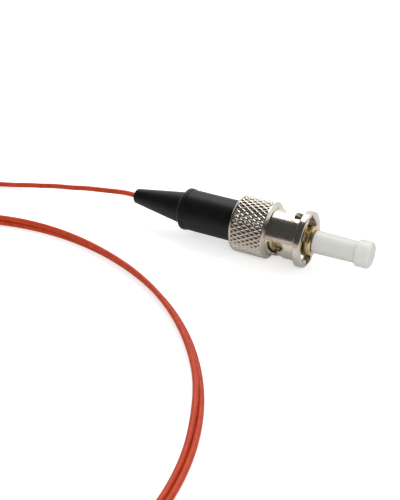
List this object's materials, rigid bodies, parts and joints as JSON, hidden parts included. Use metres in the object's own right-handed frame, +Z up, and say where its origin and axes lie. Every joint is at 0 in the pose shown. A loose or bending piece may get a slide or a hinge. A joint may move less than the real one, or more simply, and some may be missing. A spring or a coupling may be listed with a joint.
{
  "type": "bayonet fibre connector",
  "caption": "Bayonet fibre connector with a knurled spring-loaded coupling nut, black boot and white dust cap, on an orange buffered fibre pigtail laid in a loop.",
  "frame": {"origin": "centre of the ferrule's polished end face", "axes": "+X along the connector towards the mating end, +Z up with the connector lying on its nut, +Y completing a right-handed frame"},
  "size_m": [0.0903, 0.0997, 0.0096],
  "materials": {
    "ceramic": "polished zirconia ceramic",
    "fibre_glass": "clear polished",
    "fibre_coating": "clear lacquer",
    "epoxy": "amber, cured",
    "guide_tube": "moulded",
    "buffer": "smooth extruded",
    "nickel": "bright nickel plate",
    "spring_steel": "drawn wire",
    "washer_steel": "pressed",
    "clip_steel": "blackened",
    "boot_rubber": "moulded satin",
    "cap_plastic": "moulded, slightly translucent",
    "tie_tape": "plain"
  },
  "bodies": {
    "connector": {"ferrule": "ceramic", "glass_fibre": "fibre_glass", "fibre_coating": "fibre_coating", "epoxy": "epoxy", "guide_tube": "guide_tube", "buffered_fibre": "buffer", "plug_body": "nickel", "spring": "spring_steel", "retaining_clip": "clip_steel", "boot": "boot_rubber", "fibre_lead": "buffer", "fibre_loop": "buffer", "fibre_coil": "buffer", "fibre_tail": "buffer", "coil_tie": "tie_tape"},
    "washer": {"thrust_washer": "washer_steel"},
    "nut": {"coupling_nut": "nickel"},
    "cap": {"dust_cap": "cap_plastic"}
  },
  "joints": [
    {"name": "nut_push", "type": "slide", "parent": "connector", "child": "washer", "axis": [1, 0, 0], "range_m": [0, 0.0023], "stiffness_N_per_m": 1500, "springref_m": -0.003, "deforming": ["spring"]},
    {"name": "nut_turn", "type": "hinge", "parent": "washer", "child": "nut", "pos_m": [-0.0145, 0, 0], "axis": [1, 0, 0], "continuous": true},
    {"name": "cap_pull", "type": "slide", "parent": "connector", "child": "cap", "axis": [1, 0, 0], "range_m": [0, 0.012]}
  ]
}
